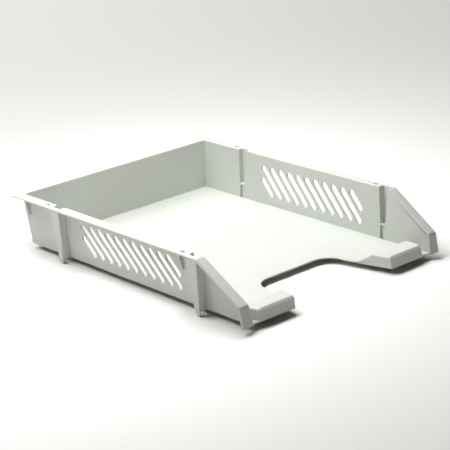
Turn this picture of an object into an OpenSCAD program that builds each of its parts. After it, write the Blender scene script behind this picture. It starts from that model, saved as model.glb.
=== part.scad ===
/* [Overall size] */
// Length from the front flanges to the back edge of the rim
tray_l = 352; // [330:1:380]
// Width over the two side rims
tray_w = 266; // [255:1:290]
// Height of the tray body, from the bottom edge of the walls to the rim top
body_h = 54.6; // [50:0.2:65]
// How far the four stacking feet reach below the walls
foot_h = 4.9; // [4:0.1:8]

/* [Walls and floor] */
// Thickness of the side walls and the back wall
wall_t = 2; // [1.6:0.1:2.6]
// Thickness of the floor
floor_t = 1.6; // [1.2:0.1:2.4]
// Outward lean of the side walls, in mm for each mm of height
side_lean = 0.09; // [0.06:0.005:0.11]
// Outward lean of the back wall, in mm for each mm of height
back_lean = 0.065; // [0.03:0.005:0.1]

/* [Rim] */
// Thickness of the rim
rim_t = 2.6; // [2:0.1:3.2]
// Width of the side rims
rim_w = 10.6; // [9.5:0.1:12]
// Width of the back rim
back_rim_w = 11.1; // [9.5:0.1:13]
// Radius of the two outer rim corners
corner_r = 3; // [1:0.5:6]
// Half length of the relief in the middle of the back rim
relief_half = 43.5; // [30:0.5:60]
// Depth of that relief
relief_d = 3.3; // [1:0.1:5]

/* [Sloping wings] */
// Where the rim starts to slope down, from the front
slope_y = 58.3; // [55:0.1:59]
// Height of the wing at its front end
wing_front_h = 19.8; // [16:0.1:26]
// How far the flange leans forward between its top and its foot
flange_lean = 3.6; // [2:0.1:6]
// Radius of the bend from level rim to slope
bend_r = 9; // [5:0.5:12]
// Radius where the slope turns down into the front flange
nose_r = 5; // [3:0.5:7]
// Half width over the two front flanges
flange_half = 130.4; // [128:0.1:131.5]

/* [Stacking posts] */
// Front face of the front pair of posts, at rim height
front_post_y = 57.6; // [56:0.1:59]
// Front face of the rear pair of posts, at rim height
rear_post_y = 268.8; // [255:0.1:285]
// Length of a post along the wall, at rim height
post_len = 15.6; // [14:0.1:18]
// Taper of the front and back of a post, in mm for each mm of height
post_taper = 0.08; // [0.04:0.005:0.09]
// Half width over the posts at the bottom edge of the walls
post_half = 128.6; // [127:0.1:129.5]
// Thickness of the post shell
post_t = 1.8; // [1.4:0.1:2.2]
// Thickness of the front and back walls of a post
post_side_t = 1.6; // [1.2:0.1:2]
// Height of the ledge inside each pocket
ledge_h = 17; // [10:0.5:25]
// Outer side of a pocket at rim height, from the middle of the tray
pocket_top_x = 128.6; // [126:0.1:130]
// Outer side of a pocket at its ledge
pocket_low_x = 124.8; // [122:0.1:127]
// Height of the hollow between a pocket and the outer face of its post
core_h = 30; // [20:0.5:32]

/* [Feet and stacking holes] */
// Length of a foot at its tip
foot_tip = 4; // [3:0.1:5]
// How far the front of a foot slopes back on its way down
foot_rake = 0.5; // [0:0.1:1]
// How far back an upper tray steps when its feet stand in the rim holes
stack_step = 16.5; // [15.5:0.1:20]
// Length of a stacking hole
hole_len = 5.2; // [4.6:0.1:6]
// Width of a stacking hole
hole_w = 2.6; // [2.3:0.1:3]

/* [Vent slots] */
// Width of one slot
slot_w = 6.5; // [4:0.1:7]
// Distance from one slot to the next
slot_pitch = 13.2; // [12:0.1:14]
// Number of full slots in each side wall
full_slots = 10; // [4:1:10]
// Lean of the slots from upright, in degrees
slot_angle = 43.4; // [20:0.2:50]
// Height of the row of slots, end to end
slot_span = 33.2; // [20:0.2:36]
// Middle of the row, from the front
slot_mid_y = 170.1; // [165:0.1:175]
// Middle of the row, above the bottom edge of the walls
slot_mid_h = 26.8; // [25:0.1:29]

/* [Front lips and finger cut-out] */
// Height of the lips above the bottom of the walls
lip_h = 12; // [8:0.2:16]
// Distance of the floor edge and the lips behind the flange feet
front_edge_y = 2; // [1:0.1:4]
// Half width of the finger cut-out at the front edge
cut_half = 64; // [50:0.5:75]
// Half width of the finger cut-out where its end curve starts
cut_half_end = 51; // [40:0.5:60]
// Depth of the finger cut-out
cut_depth = 75; // [60:1:95]
// Radius of the inner corners of the finger cut-out
cut_r = 20; // [10:1:30]
// Outer end of the lips at the bottom of their front face, from the middle of the tray
lip_out = 107.6; // [95:0.1:109]
// Outward flare of the lips' outer ends, in mm for each mm of length
lip_flare = 0.4; // [0:0.05:0.6]
// How much wider the flare makes a lip
flare_w = 3.6; // [0:0.1:5]
// Inward lean of the lips' outer ends over their height
lip_draft = 1.3; // [0:0.1:4]
// Backward lean of the lips' front faces over their height
front_draft = 1; // [0:0.1:2]
// Width of the chamfer between the front face and the top of a lip
lip_chamfer = 1.2; // [0.5:0.1:2]
// Length of the level top of the lips
lip_top = 21; // [10:0.5:30]
// Length of the slope from the lip top down to the floor
lip_back = 16; // [10:0.5:25]
// Thickness of the lip shell
lip_t = 1.8; // [1.2:0.1:2.4]

/* [Gussets under the rim] */
// Front face of the front gusset on each side, from the front
front_gusset_y = 87.5; // [80:0.5:100]
// Front face of the rear gusset on each side
rear_gusset_y = 332.5; // [310:0.5:336]
// Thickness of a gusset
gusset_t = 2.4; // [1.6:0.1:3]
// How far a gusset stands out from the wall at its bottom
gusset_foot = 2.7; // [2:0.1:5]
// How far a gusset stands out from the wall under the rim
gusset_head = 4; // [3:0.1:7]
// Height of the bottom of a gusset
gusset_h = 34; // [30:0.5:42]

/* [Hidden] */

// Tray plastic: light warm grey
tray_colour = [0.84, 0.85, 0.82];
wall_colour = [0.78, 0.79, 0.76];
post_colour = [0.72, 0.73, 0.69];
// Reach of a cutting shape past what it cuts
past = 20;
// Reach of a pocket past the inner face of the wall
pocket_past = 3;
// Segments of the larger round parts
$fn = 32;

half_w = tray_w / 2;
under_rim = body_h - rim_t;
// Cutting shapes for one side start here, well inside the wall's inner face
side_x = half_w - 3 * rim_w;
// Inner and outer faces of a side wall at height h, from the middle of the tray
function wall_in(h) = half_w - rim_w - side_lean * (body_h - h);
function wall_out(h) = wall_in(h) + wall_t;
// Inner and outer faces of the back wall at height h, from the front
function back_in(h) = tray_l - back_rim_w - back_lean * (body_h - h);
function back_out(h) = back_in(h) + wall_t;
// Outer edge of the side rim and of the sloping rim, down to the flange's half width
rim_edge_lean = (half_w - flange_half) / (body_h - wing_front_h);
function rim_out(h) = half_w - rim_edge_lean * (body_h - h);
// Outer face of a post, which meets the rim's edge at the top
post_lean = (half_w - 0.3 - post_half) / under_rim;
function post_out(h) = post_half + post_lean * h;
// Outer side of a pocket at height h
pocket_lean = (pocket_top_x - pocket_low_x) / (body_h - ledge_h);
function pocket_out(h) = pocket_low_x + pocket_lean * (h - ledge_h);
// Front and back faces of a post whose front face is at y at rim height
function post_front(y, h) = y + post_taper * (body_h - h);
function post_back(y, h) = y + post_len - post_taper * (body_h - h);

// Slope of the wings and of the flanges
slope_a = atan((body_h - wing_front_h) / (slope_y - flange_lean));
flange_a = atan(wing_front_h / flange_lean);
bend_c = [slope_y + bend_r * tan(slope_a / 2), body_h - bend_r];
slope_n = [-sin(slope_a), cos(slope_a)];
flange_n = [-sin(flange_a), cos(flange_a)];
nose_c = [flange_lean, wing_front_h] - nose_r * (slope_n + flange_n) / (1 + slope_n * flange_n);
// Where the side rim meets the wing rim, and where the wing rim meets the flange
rim_split_y = front_post_y + post_len + 2;
flange_split_h = nose_c[1] + nose_r * cos(flange_a);

// The rim seen from the side, d below its top: level, over the bend, down the slope, down the flange
arc_steps = 6;
function turn(c, r, a0, a1) =
    [for (i = [0:arc_steps]) let (a = a0 + (a1 - a0) * i / arc_steps) c + r * [-sin(a), cos(a)]];
function rim_path(d) = concat(
    [[tray_l + past, body_h - d]],
    turn(bend_c, bend_r - d, 0, slope_a),
    turn(nose_c, nose_r - d, slope_a, flange_a),
    [[d / sin(flange_a), 0]]);
function reversed(list) = [for (i = [len(list) - 1:-1:0]) list[i]];

// Puts a shape drawn from the front bottom edge of the walls into the tray's own frame
module placed() {
    translate([0, -tray_l / 2, foot_h]) children();
}

// Extrudes an X-Z outline along Y
module along_y(y0, y1) {
    translate([0, y1, 0]) rotate([90, 0, 0]) linear_extrude(y1 - y0) children();
}

// Extrudes a Y-Z outline along X
module along_x(x0, x1) {
    translate([x0, 0, 0]) rotate([90, 0, 90]) linear_extrude(x1 - x0) children();
}

// The left side is the mirror image of the right side
module left() {
    mirror([1, 0, 0]) children();
}

// Y-Z outline of a post, inset by d
module post_outline(y, d, h0, h1) {
    polygon([
        [post_front(y, h0) + d, h0],
        [post_back(y, h0) - d, h0],
        [post_back(y, h1) - d, h1],
        [post_front(y, h1) + d, h1]]);
}

// Outer volume of a post, from the wall's inner face outwards
module post_block(y, h0, h1) {
    intersection() {
        along_x(side_x, half_w + past) post_outline(y, 0, h0, h1);
        along_y(y - past, y + post_len + past)
            polygon([[wall_in(h0), h0], [post_out(h0), h0], [post_out(h1), h1], [wall_in(h1), h1]]);
    }
}

// Part of the hollow inside a post, between heights h0 and h1, with its inner and outer side at each
module post_hollow(y, h0, h1, x_in0, x_in1, x_out0, x_out1) {
    intersection() {
        along_x(side_x, half_w + past) post_outline(y, post_side_t, h0, h1);
        along_y(y - past, y + post_len + past)
            polygon([[x_in0, h0], [x_out0, h0], [x_out1, h1], [x_in1, h1]]);
    }
}

// Upper pocket, open to the inside of the tray and through the rim
module pocket_space(y) {
    top = body_h + 1;
    post_hollow(y, ledge_h, top, wall_in(ledge_h) - pocket_past, wall_in(top) - pocket_past,
        pocket_out(ledge_h), pocket_out(top));
}

module stacking_post(y) {
    under_ledge = ledge_h - post_t;
    difference() {
        post_block(y, 0, under_rim);
        pocket_space(y);
        post_hollow(y, -1, under_ledge, wall_in(-1) - pocket_past, wall_in(under_ledge) - pocket_past,
            wall_out(-1), wall_out(under_ledge));
        post_hollow(y, -1, under_ledge, wall_out(-1) + post_t, pocket_out(under_ledge) + post_t,
            post_out(-1) - post_t, post_out(under_ledge) - post_t);
        post_hollow(y, under_ledge - 0.01, core_h, pocket_out(under_ledge) + post_t,
            pocket_out(core_h) + post_t, post_out(under_ledge) - post_t, post_out(core_h) - post_t);
    }
}

// Tab that continues the outer face of a post below the wall, narrower towards its tip
module stacking_foot(y) {
    front = post_front(y, 0);
    back = post_back(y, 0);
    tip_front = front + foot_rake;
    along_x(post_half - post_t, post_half)
        polygon([[front, 0], [tip_front, -foot_h], [tip_front + foot_tip, -foot_h], [back, 0]]);
}

// Side wall between y0 and y1, without the posts
module side_shell(y0, y1) {
    difference() {
        intersection() {
            along_y(y0, y1)
                polygon([[wall_in(0), 0], [wall_out(0), 0], [wall_out(under_rim), under_rim],
                    [wall_in(under_rim), under_rim]]);
            along_x(side_x, half_w)
                polygon([[-past, 0], [back_in(0), 0], [back_in(under_rim), under_rim], [-past, under_rim]]);
        }
        for (y = [front_post_y, rear_post_y]) {
            along_x(side_x, half_w + past) post_outline(y, 0, -1, body_h);
        }
    }
}

module rear_wall() {
    side_shell(rear_post_y + post_len / 2, tray_l);
}

// One slot seen from the side, between two heights, on the slanted line through y at mid height
module slot_outline(y, h0, h1) {
    run = tan(slot_angle);
    low = [y + (h0 - slot_mid_h) * run, h0];
    high = [y + (h1 - slot_mid_h) * run, h1];
    across = slot_w / 2 * [cos(slot_angle), -sin(slot_angle)];
    translate(low) circle(d = slot_w);
    translate(high) circle(d = slot_w);
    polygon([low + across, high + across, high - across, low - across]);
}

module slot_row() {
    mid = slot_mid_h;
    reach = (slot_span - slot_w) / 2;
    first = slot_mid_y - slot_pitch * (full_slots - 1) / 2;
    for (i = [0:full_slots - 1]) {
        slot_outline(first + i * slot_pitch, mid - reach, mid + reach);
    }
    slot_outline(first - slot_pitch, mid, mid + reach);
    slot_outline(first + full_slots * slot_pitch, mid - reach, mid);
}

module vent_wall() {
    difference() {
        side_shell(front_post_y + post_len / 2, rear_post_y + post_len / 2);
        along_x(side_x, half_w + past) slot_row();
    }
}

// Wing in front of the front post, below the sloping rim and behind the flange
module wing() {
    intersection() {
        side_shell(0, front_post_y + post_len / 2);
        along_x(side_x, half_w)
            polygon(concat(rim_path(rim_t), [[tray_l + past, 0]]));
    }
}

// Everything that the rim and the flange can fill on the right side, between two heights
module rim_zone(h0, h1, out0, out1) {
    along_y(-past, tray_l + past)
        polygon([[wall_in(h0), h0], [out0, h0], [out1, h1], [wall_in(h1), h1]]);
}

module rim_band() {
    along_x(side_x, half_w + past)
        polygon(concat(rim_path(0), reversed(rim_path(rim_t))));
}

// Plan of the rim's outer corner and of the mitre between side rim and back rim
module mitre_plan() {
    inner = [half_w - rim_w, tray_l - back_rim_w];
    along = [half_w, tray_l] - inner;
    polygon([inner - 2 * along, inner + 2 * along, [-half_w - past, tray_l + back_rim_w],
        [-half_w - past, inner[1] - 2 * along[1]]]);
}

module outer_plan() {
    square_l = tray_l + past;
    translate([-half_w + corner_r, -past]) square([tray_w - 2 * corner_r, square_l]);
    translate([-half_w, -past]) square([tray_w, square_l - corner_r]);
    for (x = [-1, 1]) {
        translate([x * (half_w - corner_r), tray_l - corner_r]) circle(r = corner_r);
    }
}

// Slot in the rim that takes the tip of an upper tray's foot
module stacking_hole(y) {
    foot_mid = post_front(y, 0) + foot_rake + foot_tip / 2;
    x = post_half - post_t / 2;
    translate([x - hole_w / 2, foot_mid + stack_step - hole_len / 2, under_rim - 1])
        cube([hole_w, hole_len, rim_t + 2]);
}

module side_rim() {
    difference() {
        intersection() {
            rim_band();
            rim_zone(under_rim - 1, body_h + 1, rim_out(under_rim - 1), rim_out(body_h + 1));
            linear_extrude(body_h + past) outer_plan();
            translate([0, rim_split_y, 0]) cube([half_w + past, tray_l, body_h + past]);
        }
        linear_extrude(body_h + past) intersection() {
            mitre_plan();
            translate([-half_w - past, tray_l / 2]) square([tray_w + 2 * past, tray_l]);
        }
        pocket_space(rear_post_y);
        for (y = [front_post_y, rear_post_y]) {
            stacking_hole(y);
        }
    }
}

module wing_rim() {
    difference() {
        intersection() {
            rim_band();
            rim_zone(flange_split_h, body_h + 1, rim_out(flange_split_h), rim_out(body_h + 1));
            translate([0, -past, 0]) cube([half_w + past, rim_split_y + past, body_h + past]);
        }
        pocket_space(front_post_y);
    }
}

module front_flange() {
    intersection() {
        rim_band();
        rim_zone(0, flange_split_h, flange_half, rim_out(flange_split_h));
        translate([0, -past, 0]) cube([half_w + past, rim_split_y + past, body_h]);
    }
}

module gussets() {
    for (y = [front_gusset_y, rear_gusset_y]) {
        along_y(y, y + gusset_t)
            polygon([[wall_out(gusset_h), gusset_h], [wall_out(gusset_h) + gusset_foot, gusset_h],
                [wall_out(under_rim) + gusset_head, under_rim], [wall_out(under_rim), under_rim]]);
    }
}

// Plan of the finger cut-out
module cut_plan() {
    curve_y = cut_depth - cut_r;
    polygon([[-cut_half, front_edge_y], [-cut_half, -past], [cut_half, -past], [cut_half, front_edge_y],
        [cut_half_end, curve_y], [-cut_half_end, curve_y]]);
    translate([-cut_half_end + cut_r, 0]) square([2 * (cut_half_end - cut_r), cut_depth]);
    for (x = [-1, 1]) {
        translate([x * (cut_half_end - cut_r), curve_y]) circle(r = cut_r);
    }
}

// Lip outline from the side, inset by d: upright front, level top, slope down to the floor
module lip_outline(d, h0) {
    top = lip_h - d;
    front_top = front_edge_y + front_draft;
    top_end = front_top + lip_top;
    foot = top_end + lip_back;
    drop = d * lip_back / lip_h;
    polygon([[front_edge_y + d, h0], [front_top + d, top - lip_chamfer], [front_top + d + lip_chamfer, top],
        [top_end - d / 2, top], [foot - d - drop, floor_t - d * 0.3], [foot - d - drop, h0]]);
}

// Plan of a lip, inset by d; its inner end follows the side of the cut-out
module lip_plan(d) {
    curve_y = cut_depth - cut_r;
    polygon([[cut_half + d, front_edge_y], [half_w, front_edge_y], [half_w, curve_y],
        [cut_half_end + d, curve_y]]);
}

// Everything inside an upright face through x at the front edge, which leans inwards upwards
module inside_face(x, flare) {
    translate([x, front_edge_y, 0]) rotate([0, -atan(lip_draft / lip_h), -atan(flare)])
        translate([-tray_w, -past, -past]) cube([tray_w, tray_l, 3 * past]);
}

// Everything inside a lip's outer end, which flares at the front and then runs straight back
module lip_end(d) {
    intersection() {
        inside_face(lip_out - d, lip_flare);
        inside_face(lip_out + flare_w - d, 0);
    }
}

module lip_solid(d, h0) {
    intersection() {
        along_x(0, half_w) lip_outline(d, h0);
        translate([0, 0, -1]) linear_extrude(lip_h + 2) lip_plan(d);
        lip_end(d);
    }
}

module front_lip() {
    difference() {
        lip_solid(0, 0);
        lip_solid(lip_t, -1);
    }
}

module floor_plate() {
    difference() {
        intersection() {
            along_y(front_edge_y, tray_l)
                polygon([[-wall_in(0), 0], [wall_in(0), 0], [wall_in(floor_t), floor_t],
                    [-wall_in(floor_t), floor_t]]);
            along_x(-half_w, half_w)
                polygon([[0, 0], [back_in(0), 0], [back_in(floor_t), floor_t], [0, floor_t]]);
        }
        translate([0, 0, -1]) linear_extrude(floor_t + 2) cut_plan();
        for (side = [0, 1]) {
            mirror([side, 0, 0]) intersection() {
                along_x(0, half_w) lip_footprint();
                translate([0, 0, -1]) linear_extrude(lip_h) lip_plan(0);
                lip_end(0);
            }
        }
    }
}

// The stretch of floor that a lip takes the place of, from the side
module lip_footprint() {
    foot = front_edge_y + front_draft + lip_top + lip_back;
    translate([0, -1]) square([foot, floor_t + 2]);
}

module floor_panel() {
    color(tray_colour) placed() floor_plate();
}

module left_front_lip() {
    color(tray_colour) placed() left() front_lip();
}

module right_front_lip() {
    color(tray_colour) placed() front_lip();
}

module back_wall() {
    color(wall_colour) placed() intersection() {
        along_x(-half_w, half_w)
            polygon([[back_in(0), 0], [back_out(0), 0], [back_out(under_rim), under_rim],
                [back_in(under_rim), under_rim]]);
        along_y(tray_l / 2, tray_l)
            polygon([[-wall_out(0), 0], [wall_out(0), 0], [wall_out(under_rim), under_rim],
                [-wall_out(under_rim), under_rim]]);
    }
}

module back_rim() {
    color(tray_colour) placed() difference() {
        intersection() {
            along_x(-half_w, half_w)
                polygon([[back_in(under_rim), under_rim], [tray_l, under_rim], [tray_l, body_h],
                    [back_in(body_h), body_h]]);
            along_y(tray_l / 2, tray_l)
                polygon([[-rim_out(under_rim), under_rim], [rim_out(under_rim), under_rim],
                    [rim_out(body_h), body_h], [-rim_out(body_h), body_h]]);
            linear_extrude(body_h + past) intersection() {
                mitre_plan();
                mirror([1, 0]) mitre_plan();
                outer_plan();
            }
        }
        translate([-relief_half, tray_l - relief_d, 0]) cube([2 * relief_half, past, body_h + past]);
    }
}

module left_rear_wall() {
    color(wall_colour) placed() left() rear_wall();
}

module right_rear_wall() {
    color(wall_colour) placed() rear_wall();
}

module left_vent_wall() {
    color(wall_colour) placed() left() vent_wall();
}

module right_vent_wall() {
    color(wall_colour) placed() vent_wall();
}

module left_wing() {
    color(wall_colour) placed() left() wing();
}

module right_wing() {
    color(wall_colour) placed() wing();
}

module left_side_rim() {
    color(tray_colour) placed() left() side_rim();
}

module right_side_rim() {
    color(tray_colour) placed() side_rim();
}

module left_wing_rim() {
    color(tray_colour) placed() left() wing_rim();
}

module right_wing_rim() {
    color(tray_colour) placed() wing_rim();
}

module left_front_flange() {
    color(post_colour) placed() left() front_flange();
}

module right_front_flange() {
    color(post_colour) placed() front_flange();
}

module rear_left_post() {
    color(post_colour) placed() left() stacking_post(rear_post_y);
}

module rear_right_post() {
    color(post_colour) placed() stacking_post(rear_post_y);
}

module front_left_post() {
    color(post_colour) placed() left() stacking_post(front_post_y);
}

module front_right_post() {
    color(post_colour) placed() stacking_post(front_post_y);
}

module rear_left_foot() {
    color(post_colour) placed() left() stacking_foot(rear_post_y);
}

module rear_right_foot() {
    color(post_colour) placed() stacking_foot(rear_post_y);
}

module front_left_foot() {
    color(post_colour) placed() left() stacking_foot(front_post_y);
}

module front_right_foot() {
    color(post_colour) placed() stacking_foot(front_post_y);
}

module left_gussets() {
    color(wall_colour) placed() left() gussets();
}

module right_gussets() {
    color(wall_colour) placed() gussets();
}

floor_panel();
left_front_lip();
right_front_lip();
back_wall();
back_rim();
left_rear_wall();
right_rear_wall();
left_vent_wall();
right_vent_wall();
left_wing();
right_wing();
left_side_rim();
right_side_rim();
left_wing_rim();
right_wing_rim();
left_front_flange();
right_front_flange();
rear_left_post();
rear_right_post();
front_left_post();
front_right_post();
rear_left_foot();
rear_right_foot();
front_left_foot();
front_right_foot();
left_gussets();
right_gussets();
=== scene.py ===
"""Looks of the letter tray: one satin plastic moulding on a pale floor.

Each CAD node gets a moulded copy of itself: the same shape with the radii that a moulding has.
Nodes meet face to face, so only edges that are open to the air are rounded. Upright corners are
rounded first, then the other edges, and last the rim's outer edge in one wide curve.
"""
import math

import bmesh
import bpy
from mathutils import Matrix, Vector
from mathutils.bvhtree import BVHTree


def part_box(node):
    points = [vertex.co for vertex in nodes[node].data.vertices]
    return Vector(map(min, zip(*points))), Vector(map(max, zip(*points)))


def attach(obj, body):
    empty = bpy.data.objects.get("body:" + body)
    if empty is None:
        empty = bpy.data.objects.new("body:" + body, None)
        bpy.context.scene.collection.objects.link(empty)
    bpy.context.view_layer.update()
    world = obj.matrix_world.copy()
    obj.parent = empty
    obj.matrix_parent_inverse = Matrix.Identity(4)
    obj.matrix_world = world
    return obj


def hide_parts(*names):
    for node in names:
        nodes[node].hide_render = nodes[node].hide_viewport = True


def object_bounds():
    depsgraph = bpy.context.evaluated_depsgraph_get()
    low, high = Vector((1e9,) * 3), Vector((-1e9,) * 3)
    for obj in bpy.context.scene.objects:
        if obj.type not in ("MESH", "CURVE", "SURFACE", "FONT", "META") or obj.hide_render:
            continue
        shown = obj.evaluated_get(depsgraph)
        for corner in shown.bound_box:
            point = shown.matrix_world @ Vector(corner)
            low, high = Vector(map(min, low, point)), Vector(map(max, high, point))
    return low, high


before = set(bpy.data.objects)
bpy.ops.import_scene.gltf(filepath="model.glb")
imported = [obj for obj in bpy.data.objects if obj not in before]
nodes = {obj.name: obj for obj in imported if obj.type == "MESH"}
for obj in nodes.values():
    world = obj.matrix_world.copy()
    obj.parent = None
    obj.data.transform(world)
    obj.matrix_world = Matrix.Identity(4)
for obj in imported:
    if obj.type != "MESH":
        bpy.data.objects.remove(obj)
cad_box = [list(corner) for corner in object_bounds()]
MM = 0.001
TOP = cad_box[1][2]
BACK = cad_box[1][1]
HALF = cad_box[1][0]
ROOT = "root"

# Height at which the sloping rim ends at the flange
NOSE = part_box("right_wing_rim")[0].z

# ---------------------------------------------------------------- radii of the moulding, in metres
TINY = 0.4 * MM
SLOT_EDGE = 0.5 * MM
RIM_INNER = 0.8 * MM
HOLE_CORNER = 0.6 * MM
# Walls of a stacking hole are nearer to each other than this
HOLE_REACH = 6 * MM
MOUTH = 1.35 * MM
LIP = 2.2 * MM
LIP_SIDE = 1.2 * MM
HOLLOW = 1.6 * MM
# The rim's outer edge falls away in a flat curve: its width and depth on the level and on the flanges
CROWN_WIDE, CROWN_DEEP = 4.2 * MM, 1.7 * MM
FLANGE_WIDE, FLANGE_DEEP = 2.2 * MM, 1.1 * MM
CROWN_STEPS = 7
# The crown's width and depth grow from a flange's to the rim's over this height above the nose
CROWN_GROWS = 6 * MM
# The middle of the back rim is set back, without the rounded outer edge, to this far from the centre
RELIEF_HALF = 43.5 * MM
# Slope of the rim's outer face, and the radius of the rim's back corners seen from above
RIM_LEAN = 0.0747
CORNER = 3 * MM
# The back rim's own outer steps are within this distance of the back
BACK_STEPS = 10 * MM
# The nose is curved up to this height above its foot, in steps that aren't corners
NOSE_CURVE = 4 * MM
# An edge this near the rim's outline is its outer edge
ON_OUTLINE = 0.3 * MM

# An edge is rounded when its faces turn by more than this
SHARP = math.radians(20)
SMOOTH_UNDER = math.radians(38)
# Faces that turn by less than this are one face
FLAT = math.radians(0.6)
# How far from an edge its two faces are tested for a neighbour
PROBE = 0.12 * MM
# Points closer than this are one point
WELD = 0.06 * MM
# Above this height the inner corners of a post are those of its pocket
POCKET_CORNERS = 33 * MM
# A corner radius takes at most this share of the shortest edge that it runs over
ROOM_SHARE = 0.7
RADIUS_SEGMENTS = 4
# A face square on to an axis has at least this much of its normal along it
SQUARE_ON = 0.9
# A face with this much of its normal upwards is part of a top, and one with less is a wall
TOP_FACE = 0.3
# A face with less than this much of its normal sideways or backwards can be part of the crown
CROWN_FACE = 0.5
# How far off a wall, and below its top edge, the search for an opposite wall starts
OFF_WALL = 0.01 * MM
BELOW_EDGE = 0.1 * MM
# Lengths in metres too small to matter
HAIR = 1e-6
HAIR_FINE = 1e-7
WEIGHTS = "bevel_weight_edge"
# A cut passes through a point this near instead of beside it
CUT_SNAP = 0.03 * MM

graph = bpy.context.evaluated_depsgraph_get()
trees = {name: BVHTree.FromObject(o, graph) for name, o in nodes.items()}
boxes = {name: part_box(name) for name in nodes}
UPWARDS = Vector((0.0137, 0.0071, 1.0)).normalized()


def inside(name, point):
    """Whether a point is inside a node's solid, by counting the faces above it."""
    lo, hi = boxes[name]
    if any(point[i] < lo[i] or point[i] > hi[i] for i in range(3)):
        return False
    start, hits = point.copy(), 0
    while True:
        place = trees[name].ray_cast(start, UPWARDS)[0]
        if place is None:
            return hits % 2 == 1
        hits += 1
        start = place + UPWARDS * HAIR


def covered(name, point):
    return any(inside(other, point) for other in nodes if other != name)


def exposed(name, edge):
    """Whether both faces of an edge face the open air along it."""
    a, b = (v.co for v in edge.verts)
    along = (b - a).normalized()
    for t in (0.2, 0.8):
        middle = a.lerp(b, t)
        for face in edge.link_faces:
            loop = next(l for l in face.loops if l.edge == edge)
            run = (loop.link_loop_next.vert.co - loop.vert.co).normalized()
            into = face.normal.cross(run)
            if covered(name, middle + (face.normal + into) * PROBE):
                return False
    return True


def open_edges(name, bm):
    """Edges worth rounding: (edge, middle, normals, whether it is an inner corner)."""
    found = []
    for edge in bm.edges:
        if len(edge.link_faces) != 2:
            continue
        turn = edge.calc_face_angle_signed(0)
        if abs(turn) < SHARP or not exposed(name, edge):
            continue
        middle = (edge.verts[0].co + edge.verts[1].co) / 2
        found.append((edge, middle, [f.normal.copy() for f in edge.link_faces], turn < 0))
    return found


def upright(edge):
    run = edge.verts[1].co - edge.verts[0].co
    return abs(run.z) > SQUARE_ON * run.length


def is_corner(edge):
    """An upright corner of a post, notch, hole or flange, but not a steep step of the rim's nose."""
    low = min(vert.co.z for vert in edge.verts)
    return upright(edge) and not NOSE - BELOW_EDGE < low < NOSE + NOSE_CURVE


def room(edge):
    """The length of the shortest neighbour that a radius along this edge would run over."""
    neighbours = [near.edge for loop in edge.link_loops
                  for near in (loop.link_loop_next, loop.link_loop_prev)]
    return min(neighbour.calc_length() for neighbour in neighbours)


# ---------------------------------------------------------------- which radius goes where
def side_of(point):
    return 1 if point.x > 0 else -1


def faces_in(middle, normals):
    """Whether one of the faces looks towards the middle of the tray."""
    return min(n.x * side_of(middle) for n in normals) < -SQUARE_ON


def wall_radius(edge, middle, normals, inner):
    return 0 if inner else TINY


def flange_radius(edge, middle, normals, inner):
    if inner:
        return 0
    if min(n.y for n in normals) < -SQUARE_ON and is_corner(edge):
        return RIM_INNER if faces_in(middle, normals) else 0
    return TINY


def vent_radius(edge, middle, normals, inner):
    return 0 if inner else SLOT_EDGE


def post_radius(edge, middle, normals, inner):
    if inner:
        return HOLLOW if upright(edge) and middle.z > POCKET_CORNERS else 0
    if upright(edge) and faces_in(middle, normals):
        return MOUTH
    return TINY


def lip_radius(edge, middle, normals, inner):
    if inner:
        return 0
    up = max(n.z for n in normals)
    down = min(n.z for n in normals)
    if down < -0.5:
        return TINY
    return LIP if up > 0.5 and not upright(edge) else LIP_SIDE


def in_hole(middle, normals):
    """Whether an edge is at a stacking hole: another wall faces it from a few millimetres across."""
    for normal in normals:
        if abs(normal.z) < TOP_FACE:
            start = middle + normal * OFF_WALL - Vector((0, 0, BELOW_EDGE))
            for name in trees:
                facing = trees[name].ray_cast(start, normal, HOLE_REACH)[1] if "rim" in name else None
                if facing and facing.dot(normal) < 0:
                    return True
    return False


def rim_radius(edge, middle, normals, inner):
    hole = in_hole(middle, normals)
    if inner:
        return (HOLE_CORNER if hole else HOLLOW) if upright(edge) else 0
    if is_corner(edge) and faces_in(middle, normals):
        return MOUTH
    facing_back = max(n.y for n in normals) > SQUARE_ON and middle.y > BACK - BACK_STEPS
    if max(n.z for n in normals) > TOP_FACE and not hole and not facing_back:
        return RIM_INNER
    return TINY


# ---------------------------------------------------------------- the rim's rounded outer edge
def edge_distance(point):
    """How far a point is inside the rim's outer edge, seen from above."""
    half = HALF - RIM_LEAN * (TOP - max(point.z, NOSE))
    dx = abs(point.x) - (half - CORNER)
    dy = point.y - (BACK - CORNER)
    if dx > 0 and dy > 0:
        return CORNER - math.hypot(dx, dy)
    return CORNER - max(dx, dy)


def crown(point):
    """Width and depth of the rounded outer edge: wide on the level and the slope, less on the flange."""
    t = min(max((point.z - NOSE) / CROWN_GROWS, 0), 1)
    wide = FLANGE_WIDE + t * (CROWN_WIDE - FLANGE_WIDE)
    deep = FLANGE_DEEP + t * (CROWN_DEEP - FLANGE_DEEP)
    return wide, deep


def cut(bm, point, normal):
    bmesh.ops.bisect_plane(bm, geom=bm.verts[:] + bm.edges[:] + bm.faces[:], dist=CUT_SNAP,
                           plane_co=point, plane_no=normal)


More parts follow.
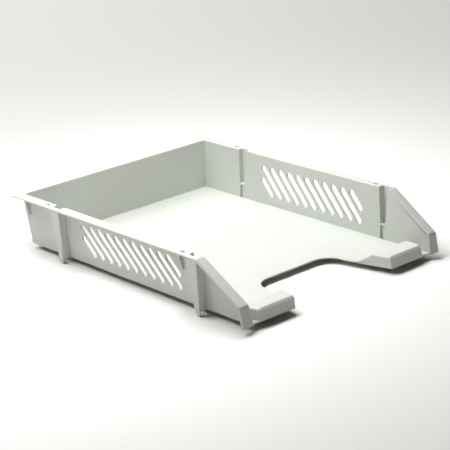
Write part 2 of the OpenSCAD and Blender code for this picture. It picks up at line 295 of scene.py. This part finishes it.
def crowned(name, bm):
    """Rounds the outer top edge of a rim or flange in one wide, flat curve."""
    back = name == "back_rim"
    for i in range(1, CROWN_STEPS + 1):
        share = 1 - math.cos(math.pi / 2 * i / CROWN_STEPS)
        for side in (-1, 1):
            if name.endswith("flange"):
                foot = HALF - RIM_LEAN * (TOP - NOSE)
                cut(bm, (side * (foot - FLANGE_WIDE * share), 0, 0), (side, 0, 0))
            elif back or (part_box(name)[0].x > 0) == (side > 0):
                cut(bm, (side * (HALF - CROWN_WIDE * share), 0, TOP), (side, 0, -RIM_LEAN))
        if back or name.endswith("side_rim"):
            cut(bm, (0, BACK - CROWN_WIDE * share, 0), (0, 1, 0))
    # Triangles stay flat when their corners move
    bmesh.ops.triangulate(bm, faces=bm.faces[:], quad_method="BEAUTY", ngon_method="EAR_CLIP")
    bm.normal_update()
    moves = {}
    for vert in bm.verts:
        distance = edge_distance(vert.co)
        wide, deep = crown(vert.co)
        if distance >= wide - HAIR_FINE or (back and abs(vert.co.x) < RELIEF_HALF + HAIR):
            continue
        skin = Vector()
        for face in vert.link_faces:
            n = face.normal
            front = n.y < -SQUARE_ON and vert.co.z < TOP / 2
            if abs(n.x) < CROWN_FACE and n.y < CROWN_FACE and (n.z > TOP_FACE or front):
                skin += n * face.calc_area()
        if skin.length == 0:
            continue
        share = min(max(1 - distance / wide, 0), 1)
        moves[vert] = -skin.normalized() * deep * (1 - math.sqrt(1 - share * share))
    for vert, move in moves.items():
        vert.co += move
    bm.normal_update()


def crossed_holes(name, bm):
    """Splits the rim straight across each hole, so that no long face edge runs beside a corner."""
    ends = sorted({round(edge.verts[0].co.y, 5) for edge, middle, normals, inner in open_edges(name, bm)
                   if inner and upright(edge) and in_hole(middle, normals)})
    centres = [(near + far) / 2 for near, far in zip(ends[::2], ends[1::2])]
    for y in centres:
        cut(bm, (0, y, 0), (0, 1, 0))
    flat = [edge for edge in bm.edges if len(edge.link_faces) == 2 and edge.calc_face_angle(0) < FLAT
            and not any(all(abs(vert.co.y - y) < CUT_SNAP for vert in edge.verts) for y in centres)]
    bmesh.ops.dissolve_edges(bm, edges=flat, use_verts=True)
    bm.normal_update()


# ---------------------------------------------------------------- making a piece
def picked(name, bm, radius_of, fits):
    """The radius of each open edge that fits, where it has one."""
    radii = {}
    for edge, middle, normals, inner in open_edges(name, bm):
        radius = radius_of(edge, middle, normals, inner) if fits(edge) else 0
        if radius:
            radii[edge] = radius
    return radii


def weighed(bm, radii):
    """Writes each edge's radius as a share of the widest one, and returns that one."""
    weight = bm.edges.layers.float[WEIGHTS]
    widest = max(radii.values(), default=0)
    for edge in bm.edges:
        edge[weight] = radii.get(edge, 0) / (widest or 1)
    return widest


def rounded(piece, bm, widest):
    """Gives a piece this mesh, with its edges rounded by their weights."""
    bm.to_mesh(piece.data)
    if widest:
        bevel = piece.modifiers.new("radii", "BEVEL")
        bevel.limit_method = "WEIGHT"
        bevel.width = widest
        bevel.segments = RADIUS_SEGMENTS
        bevel.use_clamp_overlap = False
        bevel.loop_slide = False
        apply(piece)


def moulded(name, radius_of, kind):
    """The moulded copy of a node, with its edges rounded, which stands for the node."""
    is_rim = kind in ("rim", "flange")
    corners_first = is_rim or kind == "post"
    bm = bmesh.new()
    bm.from_mesh(nodes[name].data)
    bmesh.ops.remove_doubles(bm, verts=bm.verts, dist=WELD)
    bmesh.ops.dissolve_limit(bm, angle_limit=FLAT, verts=bm.verts, edges=bm.edges)
    bm.normal_update()
    if name.endswith("side_rim"):
        crossed_holes(name, bm)
    piece = bpy.data.objects.new(name + "_moulded", bpy.data.meshes.new(name + "_moulded"))
    bpy.context.scene.collection.objects.link(piece)
    bm.edges.layers.float.new(WEIGHTS)
    if corners_first:
        # The upright corners come first, so that the radii of the other edges run round them
        corners = {edge: min(radius, ROOM_SHARE * room(edge))
                   for edge, radius in picked(name, bm, radius_of, is_corner).items()}
        rounded(piece, bm, weighed(bm, corners))
        bm.clear()
        bm.from_mesh(piece.data)
        if WEIGHTS not in bm.edges.layers.float:
            bm.edges.layers.float.new(WEIGHTS)
        bm.normal_update()
    radii = picked(name, bm, radius_of, lambda edge: not (corners_first and is_corner(edge)))
    if is_rim:
        radii = {edge: radius for edge, radius in radii.items() if not on_outer_edge(edge)}
    rounded(piece, bm, weighed(bm, radii))
    if is_rim:
        bm.clear()
        bm.from_mesh(piece.data)
        crowned(name, bm)
        bm.to_mesh(piece.data)
    bm.free()
    shade(piece)
    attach(piece, ROOT)
    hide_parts(name)
    return piece


def on_outer_edge(edge):
    middle = (edge.verts[0].co + edge.verts[1].co) / 2
    top = max(face.normal.z for face in edge.link_faces)
    return edge_distance(middle) < ON_OUTLINE and top > TOP_FACE


def apply(piece):
    """Bakes a piece's modifiers into its mesh."""
    mesh = bpy.data.meshes.new_from_object(piece.evaluated_get(bpy.context.evaluated_depsgraph_get()))
    piece.modifiers.clear()
    old, piece.data = piece.data, mesh
    bpy.data.meshes.remove(old)


def shade(piece):
    """Smooth faces with creases at the true corners, and flat faces that stay flat up to their radii."""
    bm = bmesh.new()
    bm.from_mesh(piece.data)
    for face in bm.faces:
        face.smooth = True
    for edge in bm.edges:
        if len(edge.link_faces) == 2:
            edge.smooth = edge.calc_face_angle(0) < SMOOTH_UNDER
    bm.to_mesh(piece.data)
    bm.free()
    weigh = piece.modifiers.new("flat_faces", "WEIGHTED_NORMAL")
    weigh.keep_sharp = True


# ---------------------------------------------------------------- material
# Sizes of the noises, per metre
FLOW_SCALE, FLOW_DETAIL = 14, 4
GRAIN_SCALE, GRAIN_DETAIL = 1500, 3
# The darker flow marks have this much of the colour
FLOW_DARK = (0.965, 0.96, 0.94)
ROUGHNESS = (0.40, 0.58)
GRAIN_DEPTH = 0.15 * MM


def plastic(name, colour):
    """Satin moulded plastic: fine spark texture, faint flow marks in tone and gloss."""
    material = bpy.data.materials.new(name)
    material.use_nodes = True
    make, link = material.node_tree.nodes.new, material.node_tree.links.new
    shader = material.node_tree.nodes["Principled BSDF"]
    shader.inputs["IOR"].default_value = 1.46
    place = make("ShaderNodeTexCoord").outputs["Object"]

    def noise(scale, detail):
        texture = make("ShaderNodeTexNoise")
        texture.inputs["Scale"].default_value = scale
        texture.inputs["Detail"].default_value = detail
        link(place, texture.inputs["Vector"])
        return texture.outputs["Fac"]

    flow = make("ShaderNodeValToRGB")
    dark, light = flow.color_ramp.elements
    dark.position, light.position = 0.3, 0.7
    dark.color = (*[c * k for c, k in zip(colour, FLOW_DARK)], 1)
    light.color = (*colour, 1)
    link(noise(FLOW_SCALE, FLOW_DETAIL), flow.inputs["Fac"])
    link(flow.outputs["Color"], shader.inputs["Base Color"])

    grain = noise(GRAIN_SCALE, GRAIN_DETAIL)
    gloss = make("ShaderNodeMapRange")
    gloss.inputs["To Min"].default_value, gloss.inputs["To Max"].default_value = ROUGHNESS
    link(grain, gloss.inputs["Value"])
    link(gloss.outputs["Result"], shader.inputs["Roughness"])
    bump = make("ShaderNodeBump")
    bump.inputs["Strength"].default_value = 0.15
    bump.inputs["Distance"].default_value = GRAIN_DEPTH
    link(grain, bump.inputs["Height"])
    link(bump.outputs["Normal"], shader.inputs["Normal"])
    return material


RADII = {"vent_wall": vent_radius, "post": post_radius, "lip": lip_radius,
         "rim": rim_radius, "flange": flange_radius}
tray_plastic = plastic("tray_plastic", (0.56, 0.582, 0.545))
for name in nodes:
    kind = next((k for k in RADII if name.endswith(k)), None)
    piece = moulded(name, RADII.get(kind, wall_radius), kind)
    piece.data.materials.clear()
    piece.data.materials.append(tray_plastic)

# ---------------------------------------------------------------- studio
FLOOR_REACH = 6
bm = bmesh.new()
corners = [(-1, -1), (1, -1), (1, 1), (-1, 1)]
bm.faces.new([bm.verts.new((x * FLOOR_REACH, y * FLOOR_REACH, -TINY)) for x, y in corners])
stage = bpy.data.meshes.new("studio_floor")
bm.to_mesh(stage)
bm.free()
studio = bpy.data.objects.new("studio_floor", stage)
bpy.context.scene.collection.objects.link(studio)
paper = bpy.data.materials.new("studio_paper")
paper.use_nodes = True
surface = paper.node_tree.nodes["Principled BSDF"]
surface.inputs["Base Color"].default_value = (0.78, 0.775, 0.76, 1)
surface.inputs["Roughness"].default_value = 0.9
studio.data.materials.append(paper)

bpy.context.scene.view_settings.view_transform = "Standard"
world = bpy.data.worlds.new("studio")
bpy.context.scene.world = world
world.use_nodes = True
sky = world.node_tree.nodes["Background"]
sky.inputs["Color"].default_value = (1, 0.96, 0.87, 1)
sky.inputs["Strength"].default_value = 0.065


def softbox(name, place, size, power, aim=None):
    """A rectangular light, in metres and watts. Without an aim it points straight down."""
    light = bpy.data.lights.new(name, "AREA")
    light.shape = "RECTANGLE"
    light.size, light.size_y = size
    light.energy = power
    lamp = bpy.data.objects.new(name, light)
    bpy.context.scene.collection.objects.link(lamp)
    lamp.location = place
    if aim:
        lamp.rotation_euler = (Vector(aim) - Vector(place)).to_track_quat("-Z", "Y").to_euler()


softbox("broad_light", (0, 1.9, 2.6), (3.2, 2.6), 104)
softbox("key_light", (-0.1, 0.07, 0.52), (0.7, 0.16), 4.3)
softbox("left_light", (-1.6, 0.5, 0.7), (0.8, 0.6), 0.55, aim=(0, 0, 0.03))

# ---------------------------------------------------------------- camera
AZIMUTH = math.radians(40.42)
ELEVATION = math.radians(19.23)
ROLL = math.radians(-3.39)
FOCAL_WIDTHS = 3.558
CAMERA_AT = Vector((-0.98665, -1.16462, 0.56082))
look = Vector((math.sin(AZIMUTH) * math.cos(ELEVATION), math.cos(AZIMUTH) * math.cos(ELEVATION),
               -math.sin(ELEVATION)))
right = Vector((math.cos(AZIMUTH), -math.sin(AZIMUTH), 0))
above = right.cross(look)
axes = (math.cos(ROLL) * right + math.sin(ROLL) * above,
        math.cos(ROLL) * above - math.sin(ROLL) * right, -look)
lens = bpy.data.cameras.new("photo_camera")
lens.sensor_width = 36
lens.lens = lens.sensor_width * FOCAL_WIDTHS
camera = bpy.data.objects.new("photo_camera", lens)
bpy.context.scene.collection.objects.link(camera)
camera.matrix_world = Matrix.Translation(CAMERA_AT) @ Matrix(axes).transposed().to_4x4()
bpy.context.scene.camera = camera
